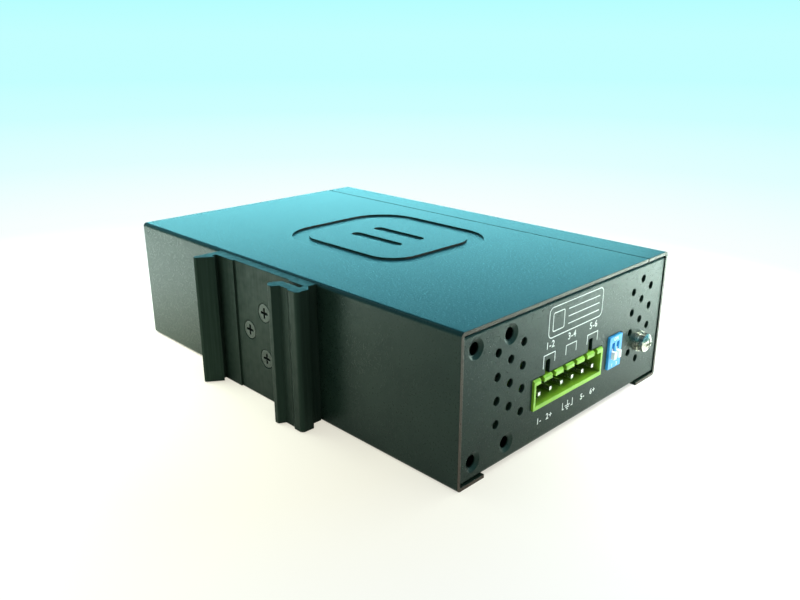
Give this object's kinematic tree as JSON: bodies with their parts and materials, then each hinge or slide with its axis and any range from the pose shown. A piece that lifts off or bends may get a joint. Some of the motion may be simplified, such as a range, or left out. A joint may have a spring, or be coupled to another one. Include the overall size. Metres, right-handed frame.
{
  "type": "din rail ethernet switch",
  "caption": "Flat folded-steel network switch for a 35 mm rail, with a rail clip, shrouded power header, slide switches, ground screw and modular jacks.",
  "frame": {"origin": "middle of the seat on the clip where the face of the 35 mm rail rests, halfway across the case's width", "axes": "+X along the case's height towards the power end, +Y from the rail towards the ports, +Z across the case's width, up as it lies on its side"},
  "size_m": [0.1501, 0.1061, 0.041],
  "materials": {
    "black_steel": "satin powder coat with fine orange peel",
    "black_aluminium": "black anodised extrusion, satin",
    "black_screw": "black oxide, semi-gloss",
    "zinc_steel": "zinc plate, dull",
    "green_plastic": "moulded polyamide, satin",
    "tinned_pin": "bright tin",
    "blue_plastic": "moulded, semi-gloss",
    "white_plastic": "moulded, satin",
    "bright_nickel": "bright nickel plate",
    "board_laminate": "green solder mask over glass laminate",
    "black_plastic": "moulded, matte",
    "tinned_sheet": "tinned sheet, satin",
    "gilt_contact": "gold flash",
    "lamp_lens": "diffused epoxy",
    "bare_aluminium": "mill finish",
    "dark_ferrite": "pressed ferrite",
    "capacitor_sleeve": "shrunk sleeve"
  },
  "bodies": {
    "case": {"chassis": "black_steel", "cover": "black_steel", "front_panel": "black_steel", "din_clip": "black_aluminium", "clip_screws": "black_screw", "clip_nuts": "zinc_steel", "case_screws": "black_screw", "terminal_header": "green_plastic", "terminal_pins": "tinned_pin", "dip_body": "blue_plastic", "dip_leads": "tinned_pin", "ground_washer": "bright_nickel", "ground_star_washer": "bright_nickel", "ground_screw": "bright_nickel", "ground_nut": "zinc_steel", "main_board": "board_laminate", "board_standoffs": "zinc_steel", "board_screws": "zinc_steel", "jack_housing": "black_plastic", "jack_shield": "tinned_sheet", "jack_contacts": "gilt_contact", "lamp_holders": "black_plastic", "lamps": "lamp_lens", "switch_chip": "black_plastic", "heat_sink": "bare_aluminium", "line_transformers": "black_plastic", "power_module": "black_plastic", "alarm_relay": "white_plastic", "power_inductor": "dark_ferrite", "fuse": "white_plastic", "crystal": "tinned_sheet", "capacitors": "capacitor_sleeve"},
    "dip_slider_1": {"dip_slider_1": "white_plastic"},
    "dip_slider_2": {"dip_slider_2": "white_plastic"}
  },
  "joints": [
    {"name": "dip_slide_1", "type": "slide", "parent": "case", "child": "dip_slider_1", "axis": [0, 0, 1], "range_m": [0, 0.002]},
    {"name": "dip_slide_2", "type": "slide", "parent": "case", "child": "dip_slider_2", "axis": [0, 0, 1], "range_m": [0, 0.002]}
  ]
}
